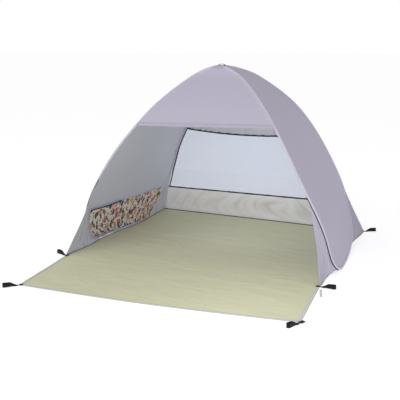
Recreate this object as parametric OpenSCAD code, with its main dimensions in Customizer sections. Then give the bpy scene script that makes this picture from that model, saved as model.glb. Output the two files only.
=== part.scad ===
// Pop-up beach shade tent: two closed spring hoops side by side that touch at the crown,
// fabric walls, a floor sheet that runs out as a front mat, a mesh back window and peg loops.
// Units: millimetres. +Z is up, the doorway looks along -Y, the origin is on the ground in the
// middle of the doorway line.

/* [Overall size] */
// Distance between the feet of the two hoops
foot_w = 1854; // [1200:2:2600]
// Depth of the covered floor that the hoops are shaped to
tent_d = 1540; // [1000:10:2200]
// Height of the crown over the ground, outside the sleeves
height = 1310; // [900:10:1900]

/* [Floor corners as pegged out] */
// Left front corner, distance left of the middle
door_left = 908; // [700:2:1200]
// Right front corner, distance right of the middle
door_right = 880; // [700:2:1200]
// Right front corner, distance behind the left one
door_back = 70; // [0:2:120]
// Left mat corner, distance left of the middle
mat_left = 816; // [600:2:1200]
// Left mat corner, distance in front of the doorway line
mat_left_d = 634; // [200:2:900]
// Right mat corner, distance right of the middle
mat_right = 920; // [600:2:1200]
// Right mat corner, distance in front of the doorway line
mat_right_d = 520; // [200:2:900]
// How far the mat's front edge bows outward in its middle
mat_bow = 34; // [0:2:100]
// Left back corner, distance left of the middle
back_left = 912; // [700:2:1200]
// Left back corner, distance behind the doorway line
back_left_d = 1586; // [1200:2:2000]
// Right back corner, distance right of the middle
back_right = 894; // [700:2:1200]
// Right back corner, distance behind the doorway line
back_right_d = 1496; // [1200:2:2000]

/* [Hoops] */
// Diameter of a spring rod
rod_d = 6; // [4:0.5:9]
// Outside diameter of a rod sleeve
sleeve_d = 16; // [12:1:24]
// Bore of a rod sleeve
sleeve_bore = 11; // [9:0.5:18]
// Outside diameter of the ferrule that joins the rod ends
ferrule_d = 9.4; // [7:0.2:14]
// Stations round one hoop
steps = 60; // [36:12:96]

/* [Doorway and window] */
// Height of the doorway's top hem
door_h = 906; // [600:2:1200]
// Depth of the doorway hem
hem_h = 22; // [10:1:40]
// Height of the window's top edge at its sides
win_top = 784; // [500:2:1000]
// How far the window's top edge sags in the middle
win_sag = 34; // [0:2:80]
// Height of the window's bottom edge
win_bot = 247; // [100:1:500]
// Height at which a front gusset leaves the hoop
front_split = 508; // [300:2:700]
// Height at which a rear gusset leaves the hoop
rear_split = 422; // [200:2:700]

/* [Cloth] */
// Thickness given to a cloth panel
cloth = 2; // [1.5:0.1:4]
// Thickness given to a binding or seam tape
tape_t = 3; // [2:0.1:5]
// Width of the window binding
bind_w = 14; // [8:1:24]
// Width of the mat binding
mat_bind = 18; // [10:1:50]
// Clear gap between neighbouring pieces
gap = 1.5; // [0.5:0.1:3]

/* [Pocket] */
// Height of the side pocket's top edge over the ground
pocket_top = 272; // [150:2:400]
// Height of the side pocket's bottom edge over the ground
pocket_bot = 24; // [20:1:60]
// Distance of the side pocket's ends from the hoop's rod line
pocket_in = 22; // [16:1:60]

/* [Peg loops] */
// Length of a webbing peg loop beyond its stitched tail
loop_l = 72; // [40:2:120]
// Outside width of a peg loop
loop_w = 26; // [16:1:40]
// Width of the webbing, which stands on its edge
web_w = 25; // [15:1:40]
// Thickness of the webbing
web_t = 2.6; // [1.5:0.1:4]
// Length of the stitched tail
tail_l = 24; // [10:1:40]

/* [Hidden] */
half = foot_w / 2;
rs = sleeve_d / 2;
// Hoop shape every 30 degrees from the foot, up the front edge, over the crown and down the
// rear edge: outward reach as a share of half the foot distance, then distance behind the
// doorway line as a share of the covered depth.
reach = [1, 0.98, 0.915, 0.725, 0.48, 0.215, (rs + 3.5) / half, 0.13, 0.445, 0.67, 0.82, 0.955];
back = [0.345, 0.19, 0.14, 0.15, 0.24, 0.35, 0.42, 0.715, 0.78, 0.83, 0.865, 0.66];
heart = [0.6 * half, 0.48 * tent_d, 0.46 * height];
p_door_l = [-door_left, 0, 0];
p_door_r = [door_right, door_back, 0];
p_mat_l = [-mat_left, -mat_left_d, 0];
p_mat_r = [mat_right, -mat_right_d, 0];
p_back_l = [-back_left, back_left_d, 0];
p_back_r = [back_right, back_right_d, 0];
lilac = [0.72, 0.7, 0.78];
silver = [0.66, 0.66, 0.68];
dark = [0.12, 0.12, 0.14];
sage = [0.77, 0.77, 0.65];

function flip(p) = [-p[0], p[1], p[2]];
function unit(v) = v / norm(v);
function mix(a, b, k) = a + (b - a) * k;
function blend4(a, b, c, d, s) = 0.5 * (2 * b + (c - a) * s + (2 * a - 5 * b + 4 * c - d) * s * s
  + (3 * b - a - 3 * c + d) * s * s * s);
function curve(list, t) =
  let (n = len(list), q = (t + 540) / 30, k = floor(q))
  blend4(list[(k - 1) % n], list[k % n], list[(k + 1) % n], list[(k + 2) % n], q - k);
function high(t) = rs + (height - sleeve_d) * (1 + cos(t)) / 2;
function turn_at(z) = acos(2 * (z - rs) / (height - sleeve_d) - 1);
// A point of the right hoop's rod line, angle 0 at the crown, negative along the front edge
function hoop(t) = [half * curve(reach, t), tent_d * curve(back, t), high(t)];
function along(t) = unit(hoop(t + 1) - hoop(t - 1));
function across(v, t) = unit(v - (v * along(t)) * along(t));
// Distance to step along direction d from the rod line to stand clear of the sleeve
function clear(t, d, more) = (rs + gap + cloth / 2 + more) / norm(cross(along(t), d));

// Ring of closed sweep stations round one hoop, section points in the plane of the section
function ring_pt(t, s) =
  let (n1 = across(heart - hoop(t), t), n2 = cross(along(t), n1))
  hoop(t) + s[0] * n1 + s[1] * n2;

module loop_sweep(section) {
  m = len(section);
  pts = [for (i = [0:steps - 1], s = section) ring_pt(-180 + i * 360 / steps, s)];
  quads = [for (i = [0:steps - 1], j = [0:m - 1])
    let (p = i * m, q = ((i + 1) % steps) * m, k = (j + 1) % m) [p + j, q + j, q + k, p + k]];
  polyhedron(pts, [for (f = quads, h = [0, 1]) h == 0 ? [f[0], f[1], f[2]] : [f[0], f[2], f[3]]]);
}

// Closed thin solid of thickness t on a grid of points g[i][j]
module sheet(g, t) {
  nu = len(g) - 1;
  nv = len(g[0]) - 1;
  w = nv + 1;
  o = (nu + 1) * w;
  nrm = [for (i = [0:nu], j = [0:nv])
    unit(cross(g[min(i + 1, nu)][j] - g[max(i - 1, 0)][j],
      g[i][min(j + 1, nv)] - g[i][max(j - 1, 0)]))];
  mid = [for (i = [0:nu], j = [0:nv]) g[i][j]];
  pts = concat([for (k = [0:o - 1]) mid[k] + nrm[k] * t / 2], [for (k = [0:o - 1]) mid[k] - nrm[k] * t / 2]);
  flat = [for (i = [0:nu - 1], j = [0:nv - 1], h = [0:3])
    let (a = i * w + j, b = a + w, c = b + 1, d = a + 1)
    h == 0 ? [a, d, c] : h == 1 ? [a, c, b] : h == 2 ? [o + a, o + b, o + c] : [o + a, o + c, o + d]];
  side_u = [for (i = [0:nu - 1], h = [0:3])
    let (a = i * w, b = a + w, c = a + nv, d = b + nv)
    h == 0 ? [a, b, o + b] : h == 1 ? [a, o + b, o + a] : h == 2 ? [d, c, o + c] : [d, o + c, o + d]];
  side_v = [for (j = [0:nv - 1], h = [0:3])
    let (a = j, b = j + 1, c = nu * w + j, d = c + 1)
    h == 0 ? [b, a, o + a] : h == 1 ? [b, o + a, o + b] : h == 2 ? [c, d, o + d] : [c, o + d, o + c]];
  polyhedron(pts, concat(flat, side_u, side_v));
}

module other_side() {
  mirror([1, 0, 0]) children();
}

// Hoop pieces, right hand
function arc(r, a0, a1, n) = [for (k = [0:n]) r * [cos(mix(a0, a1, k / n)), sin(mix(a0, a1, k / n))]];

module rod() {
  loop_sweep([for (k = [0:7]) rod_d / 2 * [cos(k * 45), sin(k * 45)]]);
}

module sleeve() {
  loop_sweep(concat(arc(rs, 22.5, 337.5, 7), arc(sleeve_bore / 2, 337.5, 22.5, 7)));
}

module ferrule() {
  n = 8;
  st = 360 / steps;
  lo = rod_d / 2 + 0.2;
  hi = ferrule_d / 2;
  sec = concat([for (k = [0:n - 1]) hi * [cos(k * 45), sin(k * 45)]],
    [for (k = [0:n - 1]) lo * [cos(k * 45), sin(k * 45)]]);
  m = 2 * n;
  pts = [for (i = [-1:1], s = sec) ring_pt(i == -1 ? 180 - st : i == 0 ? -180 : -180 + st, s)];
  walls = [for (i = [0, 1], j = [0:n - 1], h = [0:3])
    let (p = i * m, q = p + m, k = (j + 1) % n)
    h == 0 ? [p + j, q + j, q + k] : h == 1 ? [p + j, q + k, p + k]
    : h == 2 ? [p + n + j, q + n + k, q + n + j] : [p + n + j, p + n + k, q + n + k]];
  ends = [for (j = [0:n - 1], h = [0:3])
    let (k = (j + 1) % n, e = 2 * m)
    h == 0 ? [j, k, n + k] : h == 1 ? [j, n + k, n + j]
    : h == 2 ? [e + j, e + n + k, e + k] : [e + j, e + n + j, e + n + k]];
  polyhedron(pts, concat(walls, ends));
}

// Side panel: level rulings from the front edge to the rear edge of one hoop
module side_panel() {
  t0 = 15;
  t1 = 166;
  nu = 24;
  nv = 6;
  sheet([for (i = [0:nu])
    let (t = mix(t0, t1, i / nu), a = hoop(-t), b = hoop(t), d = unit(b - a),
      p = a + d * clear(-t, d, 0), q = b - d * clear(t, d, 0))
    [for (j = [0:nv]) mix(p, q, j / nv)]], cloth);
}

// Gusset from the lower hoop edge out to a floor corner; s is -1 at the front and 1 at the rear
module gusset(s, split, corner) {
  t0 = turn_at(split);
  t1 = 163;
  nu = 10;
  nv = 4;
  lead = rs + gap + 9 + gap;
  g0 = across(corner - hoop(s * t0), s * t0);
  top = hoop(s * t0) + g0 * (lead + 12);
  foot = corner + [2, -s * 16, 8];
  sheet([for (i = [0:nu])
    let (u = i / nu, t = s * mix(t0, t1, u), a = hoop(t) + across(corner - hoop(t), t) * lead,
      b = mix(top, foot, u))
    [for (j = [0:nv]) s < 0 ? mix(b, a, j / nv) : mix(a, b, j / nv)]], cloth);
}

// Dark tape in the angle between the front edge of the hoop and its gusset
module seam_tape(corner) {
  t0 = turn_at(front_split);
  t1 = 163;
  nu = 12;
  sheet([for (i = [0:nu])
    let (t = -mix(t0, t1, i / nu), g = across(corner - hoop(t), t), p = hoop(t))
    [p + g * (rs + gap + 8.6), p + g * (rs + gap)]], tape_t);
}

// Edge of the back wall at height z on side s, -1 left and 1 right: the hoop above the split,
// a straight seam to the floor corner below it
function rear_edge(z, s) = z >= rear_split ? hoop(turn_at(z))
  : mix(hoop(turn_at(rear_split)), s < 0 ? flip(p_back_l) : p_back_r, (rear_split - z) / rear_split);
function rear_half(z, s, more) = rear_edge(z, s)[0]
  - (z >= rear_split ? clear(turn_at(z), [1, 0, 0], more) : 12 + more);
function rear_pt(z, k, more) = [
  mix(-rear_half(z, -1, more), rear_half(z, 1, more), (k + 1) / 2),
  mix(rear_edge(z, -1)[1], rear_edge(z, 1)[1], (k + 1) / 2), z];
function front_half(t) = hoop(-t)[0] - clear(-t, [1, 0, 0], 0);
function win_line(k) = win_top - win_sag * (1 - k * k);

module front_upper_panel() {
  color(lilac) {
    t0 = 9;
    t1 = turn_at(door_h + hem_h + gap);
    nu = 12;
    nv = 8;
    sheet([for (i = [0:nu])
      let (t = mix(t0, t1, i / nu), x = front_half(t), c = hoop(-t))
      [for (j = [0:nv]) [x * (2 * j / nv - 1), c[1], c[2]]]], cloth);
  }
}

module door_hem() {
  color(lilac)
    sheet([for (i = [0:2])
      let (t = turn_at(door_h + hem_h - i * hem_h / 2), x = front_half(t) - 1, c = hoop(-t))
      [for (j = [0:8]) [x * (j / 4 - 1), c[1], c[2]]]], cloth + 2);
}

module rear_upper_panel() {
  color(silver) {
    z0 = high(15);
    nu = 14;
    nv = 8;
    sheet([for (i = [0:nu]) [for (j = [0:nv])
      let (k = 1 - 2 * j / nv, z1 = win_line(k) + bind_w / 2 + gap, z = mix(z0, z1, i / nu))
      rear_pt(z, k, 0)]], cloth);
  }
}

module rear_window() {
  color([0.8, 0.84, 0.9]) {
    nu = 10;
    nv = 8;
    sheet([for (i = [0:nu]) [for (j = [0:nv])
      let (k = 1 - 2 * j / nv, z0 = win_line(k) - bind_w / 2 - gap - 2,
        z1 = win_bot + bind_w / 2 + gap, z = mix(z0, z1, i / nu))
      rear_pt(z, k, bind_w + gap)]], cloth);
  }
}

module window_top_binding() {
  color(dark)
    sheet([for (i = [0, 1]) [for (j = [0:12])
      let (k = 1 - j / 6, z = win_line(k) + bind_w * (0.5 - i))
      rear_pt(z, k, 1)]], tape_t);
}

module window_bottom_binding() {
  color(dark)
    sheet([for (i = [0, 1]) [for (j = [0:4])
      rear_pt(win_bot + bind_w * (0.5 - i), 1 - j / 2, 1)]], tape_t);
}

module window_binding(s) {
  nu = 14;
  z0 = win_top - bind_w / 2 - gap - 1;
  z1 = win_bot + bind_w / 2 + gap;
  sheet([for (i = [0:nu])
    let (z = mix(z0, z1, i / nu), a = rear_pt(z, s, 0.5), b = a - [s * (bind_w - 1), 0, 0])
    s > 0 ? [a, b] : [b, a]], tape_t);
}

module rear_skirt() {
  color(silver) {
    nu = 6;
    nv = 8;
    sheet([for (i = [0:nu]) [for (j = [0:nv])
      rear_pt(mix(win_bot - bind_w / 2 - gap, 8, i / nu), 1 - 2 * j / nv, 0)]], cloth);
  }
}

module rear_floor_tape() {
  color(dark)
    translate([0, 0, cloth + 0.4])
      linear_extrude(height = tape_t - 1)
        polygon([for (q = [[0.02, -24], [0.98, -24], [0.98, -14], [0.02, -14]])
          flat(mix(p_back_l, p_back_r, q[0])) + [0, q[1]]]);
}

// Floor outline helpers: a point in plan, and a corner moved inward by b
function flat(p) = [p[0], p[1]];
function tuck(a, p, c, b) =
  let (u = unit(flat(a) - flat(p)), v = unit(flat(c) - flat(p)), w = unit(u + v))
  flat(p) + w * b / abs(u[0] * w[1] - u[1] * w[0]);
function slip(p, q, b) = flat(p) + unit(flat(q) - flat(p)) * b;
function bowed(p, q, d) = [for (i = [0:12]) mix(p, q, i / 12) - [0, d * sin(15 * i)]];

module floor_sheet() {
  b = mat_bind + 1;
  side = half - rs - 11;
  color(sage)
    linear_extrude(cloth)
      polygon(concat([slip(p_door_l, p_door_r, b)],
        bowed(tuck(p_door_l, p_mat_l, p_mat_r, b), tuck(p_mat_l, p_mat_r, p_door_r, b), mat_bow),
        [slip(p_door_r, p_door_l, b), flat(p_door_r) + [-6, 6], [side, back[0] * tent_d],
          flat(p_back_r) + [-4, 0], flat(p_back_l) + [4, 0], [-side, back[0] * tent_d],
          flat(p_door_l) + [6, 6]]));
}

module mat_binding() {
  b = mat_bind;
  fl = slip(p_door_l, p_mat_l, 1.5);
  fr = slip(p_door_r, p_mat_r, 1.5);
  color([0.6, 0.59, 0.64])
    linear_extrude(cloth + 0.4)
      polygon(concat([fl], bowed(flat(p_mat_l), flat(p_mat_r), mat_bow), [fr, fr - [b, 0]],
        bowed(tuck(p_mat_l, p_mat_r, p_door_r, b), tuck(p_door_l, p_mat_l, p_mat_r, b), mat_bow),
        [fl + [b, 0]]));
}

// Side pocket inside the left wall; shown here on the right and mirrored. Its ends follow the hoop
function pocket_pt(z, k) =
  let (t = turn_at(z), a = hoop(-t), b = hoop(t), e = pocket_in / (b[1] - a[1]))
  mix(a, b, mix(e, 1 - e, k)) - [13, 0, 0];

module pocket(z0, z1, t, k1, nv) {
  sheet([for (i = [0:10]) [for (j = [0:nv])
    pocket_pt(mix(z0, z1, j / nv), k1 * i / 10)]], t);
}

module side_pocket() {
  color([0.85, 0.6, 0.5])
    other_side()
      pocket(pocket_bot, pocket_top, cloth, 1, 8);
}

module pocket_binding() {
  color(dark)
    other_side()
      pocket(pocket_top + gap, pocket_top + gap + 9, tape_t, 0.38, 1);
}

// Band round both sleeves where the hoops touch at the crown
module crown_tie() {
  c = hoop(0);
  w = c[0] + rs + 3.5;
  color(dark)
    translate([0, c[1], c[2]])
      rotate([90, 0, 0])
        linear_extrude(12, center = true)
          difference() {
            oblong(w + 3.6, rs + 7.4);
            oblong(w + 1, rs + 4.8);
          }
}

module oblong(w, h) {
  square([2 * (w - h), 2 * h], center = true);
  for (s = [-1, 1])
    translate([s * (w - h), 0])
      circle(h, $fn = 48);
}

// Webbing loop standing on edge with a flat stitched tail; local +X points away from the corner
module peg_loop() {
  r = loop_w / 2;
  color(dark) {
    translate([tail_l + loop_l / 2, 0])
      linear_extrude(web_w)
        difference() {
          oblong(loop_l / 2, r);
          oblong(loop_l / 2 - web_t, r - web_t);
        }
    translate([0, -r, 0])
      cube([tail_l + web_t / 2, 2 * r, 2 * web_t]);
  }
}

module loop_at(p, a, off = 3) {
  translate([p[0], p[1], 0])
    rotate(a)
      translate([off, 0, 0])
        peg_loop();
}

module corner_ribbon() {
  color([0.75, 0.75, 0.77])
    translate([door_right + 17, door_back - 50, 0])
      rotate(-76)
        translate([0, -8, 0])
          cube([130, 16, 1.6]);
}

module left_rod() { color([0.5, 0.5, 0.48]) other_side() rod(); }
module left_ferrule() { color([0.7, 0.7, 0.72]) other_side() ferrule(); }
module left_sleeve() { color(lilac) other_side() sleeve(); }
module left_side_panel() { color(lilac) other_side() side_panel(); }
module left_front_gusset() { color(lilac) other_side() gusset(-1, front_split, flip(p_door_l)); }
module left_rear_gusset() { color(lilac) other_side() gusset(1, rear_split, flip(p_back_l)); }
module left_seam_tape() { color(dark) other_side() seam_tape(flip(p_door_l)); }
module left_window_binding() { color(dark) window_binding(-1); }
module right_rod() { color([0.5, 0.5, 0.48]) rod(); }
module right_ferrule() { color([0.7, 0.7, 0.72]) ferrule(); }
module right_sleeve() { color(lilac) sleeve(); }
module right_side_panel() { color(lilac) side_panel(); }
module right_front_gusset() { color(lilac) gusset(-1, front_split, p_door_r); }
module right_rear_gusset() { color(lilac) gusset(1, rear_split, p_back_r); }
module right_seam_tape() { color(dark) seam_tape(p_door_r); }
module right_window_binding() { color(dark) window_binding(1); }
module loop_mat_left() { loop_at(p_mat_l, 225); }
module loop_mat_right() { loop_at(p_mat_r, 243, 12); }
module loop_front_left() { loop_at(p_door_l, 158); }
module loop_front_right() { loop_at(p_door_r, 0); }
module loop_rear_left() { loop_at(p_back_l, 150); }
module loop_rear_right() { loop_at(p_back_r, 33); }

left_rod();
left_ferrule();
left_sleeve();
left_side_panel();
left_front_gusset();
left_rear_gusset();
left_seam_tape();
left_window_binding();
side_pocket();
pocket_binding();
right_rod();
right_ferrule();
right_sleeve();
right_side_panel();
right_front_gusset();
right_rear_gusset();
right_seam_tape();
right_window_binding();
corner_ribbon();
front_upper_panel();
door_hem();
rear_upper_panel();
rear_window();
window_top_binding();
window_bottom_binding();
rear_skirt();
rear_floor_tape();
floor_sheet();
mat_binding();
crown_tie();
loop_mat_left();
loop_mat_right();
loop_front_left();
loop_front_right();
loop_rear_left();
loop_rear_right();
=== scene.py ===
import math

import bmesh
import bpy
from mathutils import Matrix, Vector, noise


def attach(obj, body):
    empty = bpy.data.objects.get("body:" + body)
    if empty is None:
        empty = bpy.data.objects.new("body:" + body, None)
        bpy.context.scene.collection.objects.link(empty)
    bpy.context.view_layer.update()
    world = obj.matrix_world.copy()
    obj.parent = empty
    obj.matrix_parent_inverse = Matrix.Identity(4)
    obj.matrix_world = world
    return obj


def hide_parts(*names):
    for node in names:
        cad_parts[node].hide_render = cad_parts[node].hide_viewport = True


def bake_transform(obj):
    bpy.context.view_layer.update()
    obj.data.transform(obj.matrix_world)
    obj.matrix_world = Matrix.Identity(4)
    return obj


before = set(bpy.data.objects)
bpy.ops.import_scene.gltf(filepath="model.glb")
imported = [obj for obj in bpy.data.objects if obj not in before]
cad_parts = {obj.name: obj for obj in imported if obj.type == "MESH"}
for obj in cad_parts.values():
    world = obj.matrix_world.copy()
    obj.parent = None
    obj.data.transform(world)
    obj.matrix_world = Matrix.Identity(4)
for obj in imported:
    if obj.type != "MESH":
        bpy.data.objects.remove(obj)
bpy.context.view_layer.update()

bl_info = {
    "name": "Pop-up Beach Shade",
    "version": (1, 0, 0),
    "blender": (4, 5, 0),
    "location": "View3D > Sidebar > Beach Shade",
    "description": "Cloth, webbing and materials of a two-hoop pop-up beach shade",
    "category": "Object",
}

# Hoop shape, in metres, as in the frame: shares every 30 degrees from the foot, up the front
# edge, over the crown and down the rear edge.
HALF_FOOT = 0.927
COVERED = 1.54
HEIGHT = 1.31
SLEEVE_R = 0.008
REACH = (1, 0.98, 0.915, 0.725, 0.48, 0.215, 0.0115 / 0.927, 0.13, 0.445, 0.67, 0.82, 0.955)
BACK = (0.345, 0.19, 0.14, 0.15, 0.24, 0.35, 0.42, 0.715, 0.78, 0.83, 0.865, 0.66)
DOOR = {-1: Vector((-0.908, 0, 0)), 1: Vector((0.88, 0.07, 0))}
MAT = {-1: Vector((-0.816, -0.634, 0)), 1: Vector((0.920, -0.520, 0))}
MAT_BOW = 0.034
REAR = {-1: Vector((-0.912, 1.586, 0)), 1: Vector((0.894, 1.496, 0))}
MAT_LEFT, MAT_WIDE = 0.816, 1.736
REAR_LEFT, REAR_WIDE = 0.912, 1.806
FRONT_SPLIT = 0.508
REAR_SPLIT = 0.422
WIN_TOP = 0.784
WIN_SAG = 0.034
WIN_BOT = 0.247
HALVES = ((-1, "left"), (1, "right"))
CABIN = Vector((0, 0.8, 0.45))
BELOW = Vector((0, 0.8, -6))
LOOPS = {  # corner, direction in degrees, distance from the corner
    "mat_left": (MAT[-1], 225, 0.003), "mat_right": (MAT[1], 243, 0.012),
    "front_left": (DOOR[-1], 158, 0.003), "front_right": (DOOR[1], 0, 0.003),
    "rear_left": (REAR[-1], 150, 0.003), "rear_right": (REAR[1], 33, 0.003),
}


# ---------------------------------------------------------------- hoop geometry

def mix(a, b, k):
    return a + (b - a) * k


def curve(shares, t):
    q = (t + 540) / 30
    k = math.floor(q)
    s = q - k
    a, b, c, d = (shares[(k + i) % 12] for i in (-1, 0, 1, 2))
    return 0.5 * (2 * b + (c - a) * s + (2 * a - 5 * b + 4 * c - d) * s * s
                  + (3 * b - a - 3 * c + d) * s ** 3)


def hoop(t, side=1):
    """Rod line of a hoop, angle 0 at the crown, negative along the front edge."""
    z = SLEEVE_R + (HEIGHT - 2 * SLEEVE_R) * (1 + math.cos(math.radians(t))) / 2
    return Vector((side * HALF_FOOT * curve(REACH, t), COVERED * curve(BACK, t), z))


def along(t, side=1):
    return (hoop(t + 1, side) - hoop(t - 1, side)).normalized()


def turn_at(z):
    """Hoop angle at height z."""
    level = 2 * (z - SLEEVE_R) / (HEIGHT - 2 * SLEEVE_R) - 1
    return math.degrees(math.acos(max(-1, min(1, level))))


def across(v, t, side=1):
    a = along(t, side)
    return (v - a * v.dot(a)).normalized()


def rear_edge(z, side):
    """Edge of the back wall: the hoop above the split, a hollow seam below it."""
    if z >= REAR_SPLIT:
        return hoop(turn_at(z), side)
    k = (REAR_SPLIT - z) / REAR_SPLIT
    p = mix(hoop(turn_at(REAR_SPLIT), side), REAR[side], k)
    return p + (hoop(150, side) - p).normalized() * 0.012 * bump(k)


def floor_edge(side, y):
    """Side edge of the floor: hollow from each corner to the hoop's foot."""
    foot_x, foot_y = 0.915, hoop(180).y
    if y < foot_y:
        k = (y - DOOR[side].y) / (foot_y - DOOR[side].y)
        x = mix(abs(DOOR[side].x), foot_x, k) - 0.016 * bump(k)
    else:
        k = (REAR[side].y - y) / (REAR[side].y - foot_y)
        x = mix(abs(REAR[side].x), foot_x, k) - 0.036 * bump(k)
    return Vector((side * x, y, 0))


def lift(gap):
    """How far a panel stands over the sleeve that its edge covers."""
    return 0.0078 * math.exp(-(gap / 0.015) ** 2)


def closer(a):
    """Moves a grid's columns closer together at its two sides."""
    return a - 0.125 * math.sin(2 * math.pi * a)


def facing(u, v, way):
    n = u.cross(v).normalized()
    return n if n.dot(way) > 0 else -n


def bump(x):
    """Smooth hill, 0 at both ends of 0 to 1 and 1 in the middle."""
    return math.sin(math.pi * max(0, min(1, x))) ** 2


def smooth(x, low, high):
    """0 below low, 1 above high, and a soft step between them."""
    k = max(0, min(1, (x - low) / (high - low)))
    return k * k * (3 - 2 * k)


def lap(b):
    """Angle round a tube at share b of its width."""
    return 2 * math.pi * (b % 1.0)


def calm(a):
    """Lets folds die out towards a grid's two sides."""
    return min(1, 14 * a, 14 * (1 - a))


def wave(x, y, z):
    """Smooth noise, between about -1 and 1."""
    return noise.noise(Vector((x, y, z)))


def drift(p, scale, seed):
    return wave(p[0] * scale + seed, p[1] * scale - seed, p[2] * scale)


# ---------------------------------------------------------------- mesh helpers

def finish_mesh(bm, name, materials, rounded=True):
    mesh = bpy.data.meshes.new(name)
    for f in bm.faces:
        f.smooth = rounded
    bm.to_mesh(mesh)
    bm.free()
    obj = bpy.data.objects.new(name, mesh)
    bpy.context.scene.collection.objects.link(obj)
    for m in materials:
        mesh.materials.append(m)
    return obj


def face_away(bm, point):
    """Turns an open sheet so that its faces look away from a point."""
    bm.normal_update()
    total = sum(f.normal.dot(f.calc_center_median() - point) * f.calc_area() for f in bm.faces)
    if total < 0:
        bmesh.ops.reverse_faces(bm, faces=bm.faces[:])


def shaped_grid(count, place, size, wrap=False, tone=None):
    """A grid with its points at place(a, b), and its layout kept as a UV map in metres."""
    bm = bmesh.new()
    bmesh.ops.create_grid(bm, x_segments=count[0], y_segments=count[1], size=0.5)
    width, length = size
    uv = bm.loops.layers.uv.new("cloth_uv")
    hem = bm.verts.layers.float.new("hem")
    turn = bm.verts.layers.float.new("turn")
    fold = bm.verts.layers.float.new("fold")
    spot = {v: (v.co.x + 0.5, v.co.y + 0.5) for v in bm.verts}
    for f in bm.faces:
        for loop in f.loops:
            a, b = spot[loop.vert]
            loop[uv].uv = (a * width, b * length)
    rows, cols = {}, {}
    for v, (a, b) in spot.items():
        v.co = place(a, b)
        ka, kb = round(a, 5), round(b, 5)
        if kb not in rows:
            rows[kb] = (place(1, b) - place(0, b)).length
        if ka not in cols:
            cols[ka] = (place(a, 1) - place(a, 0)).length
        v[hem] = min(a * rows[kb], (1 - a) * rows[kb], b * cols[ka], (1 - b) * cols[ka])
        v[turn] = a
        # fold holds painted shade: 1 where none is painted, lower in creases and gathers, from
        # tone(a, b)
        v[fold] = max(0, min(1, tone(a, b))) if tone else 1
    if wrap:
        bmesh.ops.remove_doubles(bm, verts=bm.verts[:], dist=1e-5)
    return bm


def thicken(obj, name, depth):
    wall = obj.modifiers.new(name, "SOLIDIFY")
    wall.thickness = depth
    wall.offset = -1
    return wall


def cloth(name, count, place, size, materials, away=CABIN, thickness=0.0009, tone=None):
    """A sheet of cloth on a grid, with a lining colour on its inner side; tone, if given, paints
    shade into its folds.
    """
    bm = shaped_grid(count, place, size, tone=tone)
    face_away(bm, away)
    obj = finish_mesh(bm, name, materials)
    wall = thicken(obj, "cloth_thickness", thickness)
    if len(materials) > 1:
        wall.material_offset = 1
    return obj


def tube(name, count, place, size, materials):
    """A closed tube from a grid whose two long edges are joined."""
    bm = shaped_grid(count, place, size, wrap=True)
    bmesh.ops.recalc_face_normals(bm, faces=bm.faces[:])
    return finish_mesh(bm, name, materials)


def spans(obj, spacing=None, share=None):
    """Bakes the piece's placement into its mesh; the share of each point across it is worked out
    but not used.
    """
    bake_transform(obj)
    if share is None:
        share = [d.value for d in obj.data.attributes["turn"].data]
    if spacing:
        share = [spacing(k) for k in share]
    return obj


def stand_for(obj, slot, *nodes):
    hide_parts(*nodes)
    return obj


# ---------------------------------------------------------------- shader groups

def feed(tree, node, values):
    """Fills a node's inputs with plain values, or links them to other nodes' outputs."""
    for key, value in values.items():
        if isinstance(value, bpy.types.NodeSocket):
            tree.links.new(value, node.inputs[key])
        else:
            node.inputs[key].default_value = value


def new_node(tree, kind, values=None, **settings):
    node = tree.nodes.new("ShaderNode" + kind)
    for key, value in settings.items():
        setattr(node, key, value)
    feed(tree, node, values or {})
    return node


def open_group(name, inputs, outputs):
    """A new node group and its two ends; the ends are None if the group was made before."""
    tree = bpy.data.node_groups.get(name)
    if tree:
        return tree, None, None
    tree = bpy.data.node_groups.new(name, "ShaderNodeTree")
    for label, kind, value in inputs:
        socket = tree.interface.new_socket(label, in_out="INPUT", socket_type=kind)
        socket.default_value = value
    for label in outputs:
        tree.interface.new_socket(label, in_out="OUTPUT", socket_type="NodeSocketFloat")
    return tree, tree.nodes.new("NodeGroupInput"), tree.nodes.new("NodeGroupOutput")


def math_node(tree, op, *values):
    return new_node(tree, "Math", dict(enumerate(values)), operation=op).outputs[0]


def bump_node(tree, height, strength, distance, **below):
    values = {"Strength": strength, "Distance": distance, "Height": height, **below}
    return new_node(tree, "Bump", values).outputs[0]


def cloth_layout(tree):
    return new_node(tree, "UVMap", uv_map="cloth_uv").outputs[0]


def vertex_value(tree, name):
    return new_node(tree, "Attribute", attribute_name=name).outputs["Fac"]


def weave_group():
    """Plain weave of crossing threads: a height and a tone that follow the cloth's layout."""
    tree, gi, go = open_group("plain_weave", [("Pitch", "NodeSocketFloat", 0.0012)],
                              ["Height", "Tone"])
    if gi is None:
        return tree
    uv = cloth_layout(tree)
    sep = new_node(tree, "SeparateXYZ", {0: uv})
    turns = math_node(tree, "DIVIDE", math.pi, gi.outputs["Pitch"])
    warp, weft = (math_node(tree, "SINE", math_node(tree, "MULTIPLY", sep.outputs[i], turns))
                  for i in (0, 1))
    stretch = new_node(tree, "Mapping", {0: uv, "Scale": (1, 9, 1)})
    slub = new_node(tree, "TexNoise", {"Scale": 60, "Detail": 3, "Vector": stretch.outputs[0]})
    height = math_node(tree, "ABSOLUTE", math_node(tree, "MULTIPLY", warp, weft))
    feed(tree, go, {"Height": height, "Tone": slub.outputs[0]})
    return tree


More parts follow.
